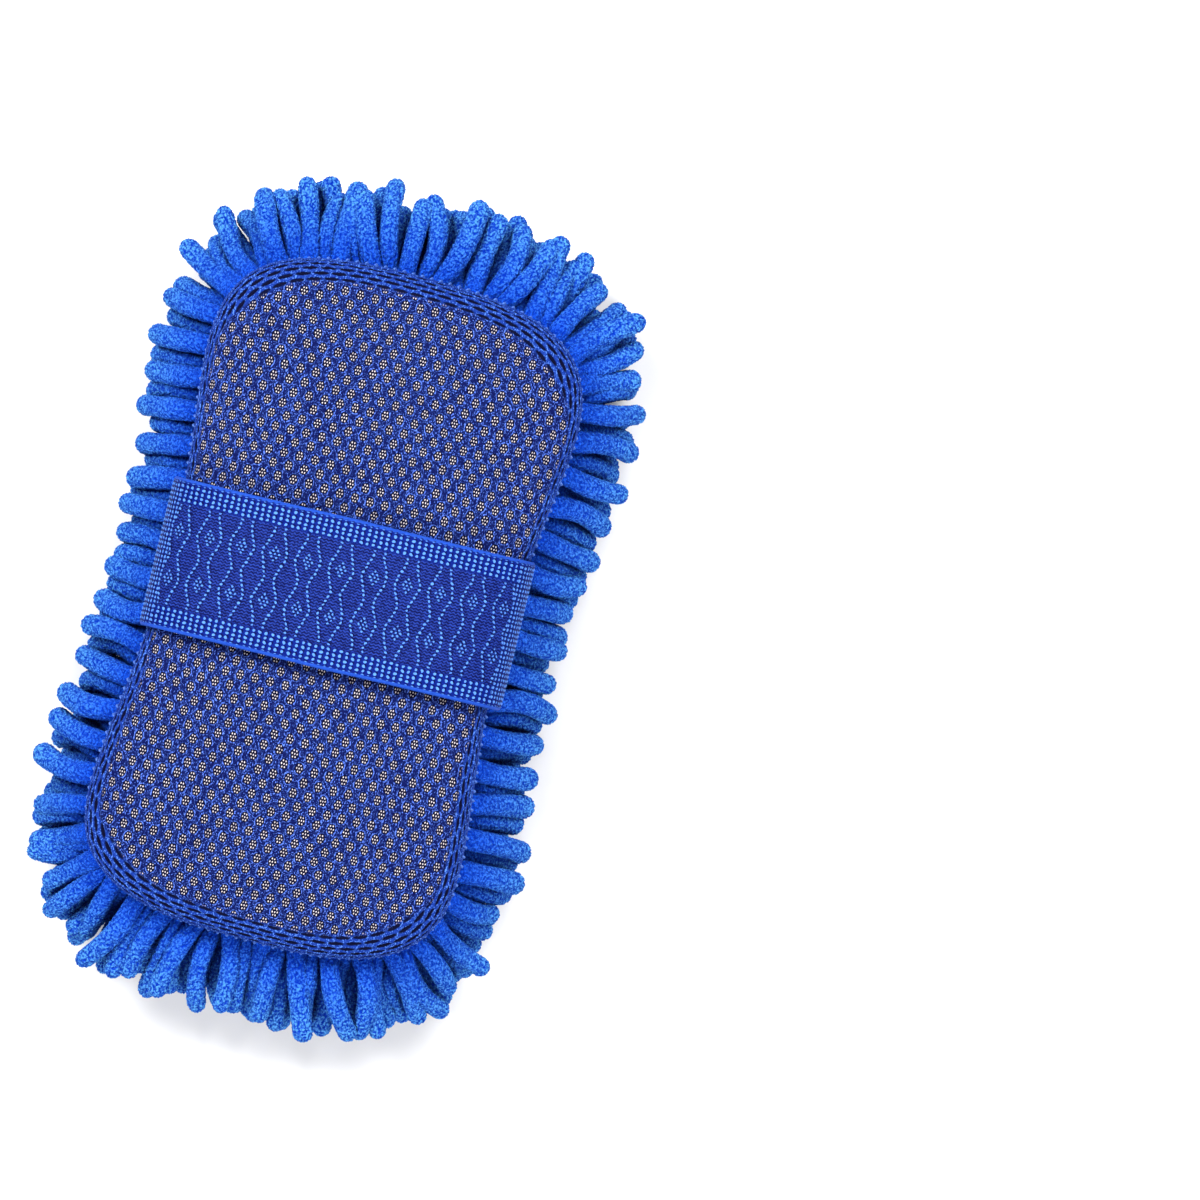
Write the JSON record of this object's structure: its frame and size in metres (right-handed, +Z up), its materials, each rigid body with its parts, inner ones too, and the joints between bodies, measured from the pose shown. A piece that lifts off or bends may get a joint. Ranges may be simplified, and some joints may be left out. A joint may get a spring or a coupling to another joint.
{
  "type": "wash mitt",
  "caption": "Padded hand-held wash mitt with a chenille finger pile, a mesh back over a foam pad and an elastic strap that holds the hand.",
  "frame": {"origin": "centre of the footprint, on the surface that the pile rests on", "axes": "+X along the mitt, +Y across it along the strap, +Z up out of the mesh back"},
  "size_m": [0.2818, 0.1662, 0.0789],
  "materials": {
    "foam": "open-cell foam, matt",
    "mesh": "warp-knit mesh, slightly glossy yarn",
    "knit_ground": "fine knit, matt",
    "seam_thread": "overlocked thread",
    "strap": "woven elastic, satin yarn",
    "chenille": "microfibre chenille, soft sheen"
  },
  "bodies": {
    "root": {"foam_core": "foam", "back_mesh": "mesh", "pile_ground": "knit_ground", "edge_seam": "seam_thread", "strap_leg_left": "strap", "strap_leg_right": "strap", "rest_tufts": "chenille", "edge_tufts": "chenille", "fringe_ring_1": "chenille", "fringe_ring_2": "chenille", "fringe_ring_3": "chenille", "fringe_ring_4": "chenille", "near_row_1": "chenille", "near_row_2": "chenille", "front_row_1": "chenille", "front_row_2": "chenille", "front_row_3": "chenille", "front_row_4": "chenille", "front_row_5": "chenille", "front_row_6": "chenille", "front_row_7": "chenille", "front_row_8": "chenille", "front_row_9": "chenille", "front_row_10": "chenille", "front_row_11": "chenille", "front_row_12": "chenille", "front_row_13": "chenille", "front_row_14": "chenille", "front_row_15": "chenille"},
    "strap": {"strap_middle": "strap"}
  },
  "joints": [
    {"name": "strap_lift", "type": "slide", "parent": "root", "child": "strap", "axis": [0, 0, 1], "range_m": [0, 0.03], "stiffness_N_per_m": 300, "deforming": ["strap_leg_left", "strap_leg_right"]}
  ]
}
